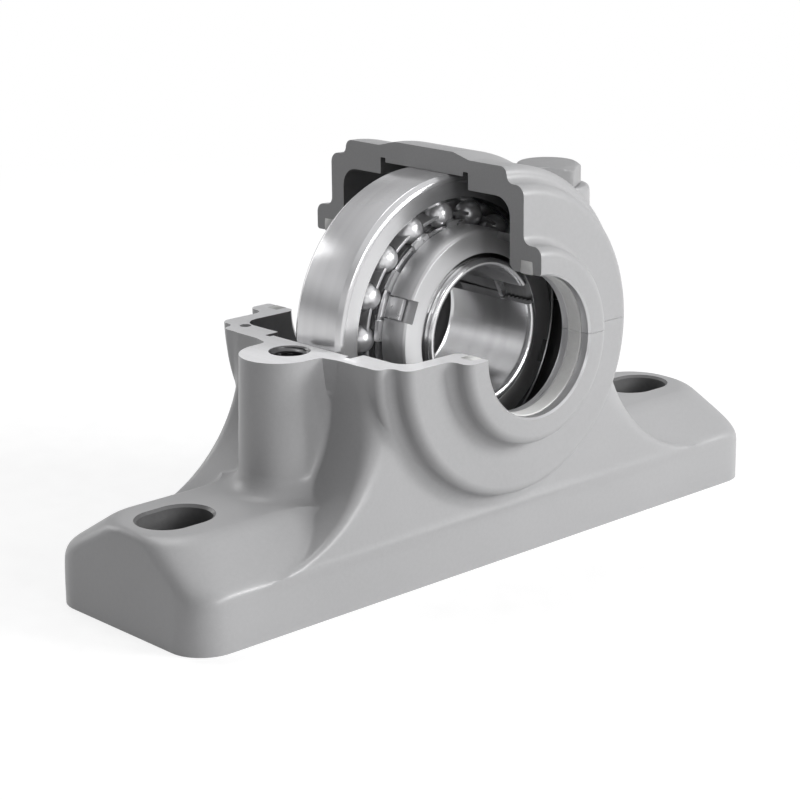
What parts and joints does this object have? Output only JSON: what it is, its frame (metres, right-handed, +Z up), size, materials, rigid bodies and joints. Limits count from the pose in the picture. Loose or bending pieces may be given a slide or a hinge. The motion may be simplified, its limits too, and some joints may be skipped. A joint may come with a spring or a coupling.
{
  "type": "split plummer block",
  "caption": "Split bearing housing on a slotted foot, with half its cap cut away to show a self-aligning ball bearing clamped by an adapter sleeve and locknut.",
  "frame": {"origin": "centre of the base's underside, below the shaft axis", "axes": "+X along the base's long axis towards the kept half of the cap, -Y out of the end where the locknut is (the front), +Z up; the shaft axis is parallel to Y at Z = 60 mm"},
  "size_m": [0.205, 0.085, 0.1059],
  "materials": {
    "casting": "cast iron under satin light grey paint; the cut faces are machined and darker, the split face is bright machined",
    "bolt_steel": "hexagon bolt, satin grey",
    "pin_steel": "ground steel pin",
    "felt": "pressed wool felt, off-white",
    "ring_steel": "ground bearing steel with fine turned lines",
    "ball_steel": "polished bearing steel",
    "cage_steel": "pressed sheet steel",
    "sleeve_steel": "turned and ground steel",
    "washer_steel": "stamped sheet steel",
    "nut_steel": "turned steel"
  },
  "bodies": {
    "housing": {"housing_base": "casting", "housing_cap": "casting", "cap_bolt": "bolt_steel", "dowel_pin": "pin_steel", "felt_front_lower": "felt", "felt_front_upper": "felt", "felt_rear_lower": "felt", "felt_rear_upper": "felt"},
    "outer_race": {"outer_ring": "ring_steel"},
    "shaft_set": {"inner_ring": "ring_steel", "adapter_sleeve": "sleeve_steel", "lockwasher": "washer_steel", "locknut": "nut_steel"},
    "ball_set": {"cage": "cage_steel", "ball_front_01": "ball_steel", "ball_front_02": "ball_steel", "ball_front_03": "ball_steel", "ball_front_04": "ball_steel", "ball_front_05": "ball_steel", "ball_front_06": "ball_steel", "ball_front_07": "ball_steel", "ball_front_08": "ball_steel", "ball_front_09": "ball_steel", "ball_front_10": "ball_steel", "ball_front_11": "ball_steel", "ball_front_12": "ball_steel", "ball_front_13": "ball_steel", "ball_front_14": "ball_steel", "ball_front_15": "ball_steel", "ball_front_16": "ball_steel", "ball_front_17": "ball_steel", "ball_rear_01": "ball_steel", "ball_rear_02": "ball_steel", "ball_rear_03": "ball_steel", "ball_rear_04": "ball_steel", "ball_rear_05": "ball_steel", "ball_rear_06": "ball_steel", "ball_rear_07": "ball_steel", "ball_rear_08": "ball_steel", "ball_rear_09": "ball_steel", "ball_rear_10": "ball_steel", "ball_rear_11": "ball_steel", "ball_rear_12": "ball_steel", "ball_rear_13": "ball_steel", "ball_rear_14": "ball_steel", "ball_rear_15": "ball_steel", "ball_rear_16": "ball_steel", "ball_rear_17": "ball_steel"}
  },
  "joints": [
    {"name": "bearing_float", "type": "slide", "parent": "housing", "child": "outer_race", "axis": [0, 1, 0], "range_m": [-0.0052, 0.0092]},
    {"name": "shaft_spin", "type": "hinge", "parent": "outer_race", "child": "shaft_set", "pos_m": [0, 0, 0.06], "axis": [0, 1, 0], "continuous": true},
    {"name": "ball_set_spin", "type": "hinge", "parent": "outer_race", "child": "ball_set", "pos_m": [0, 0, 0.06], "axis": [0, 1, 0], "continuous": true}
  ],
  "couplings": [
    {"joint": "ball_set_spin", "follows": "shaft_spin", "ratio": 0.436}
  ]
}
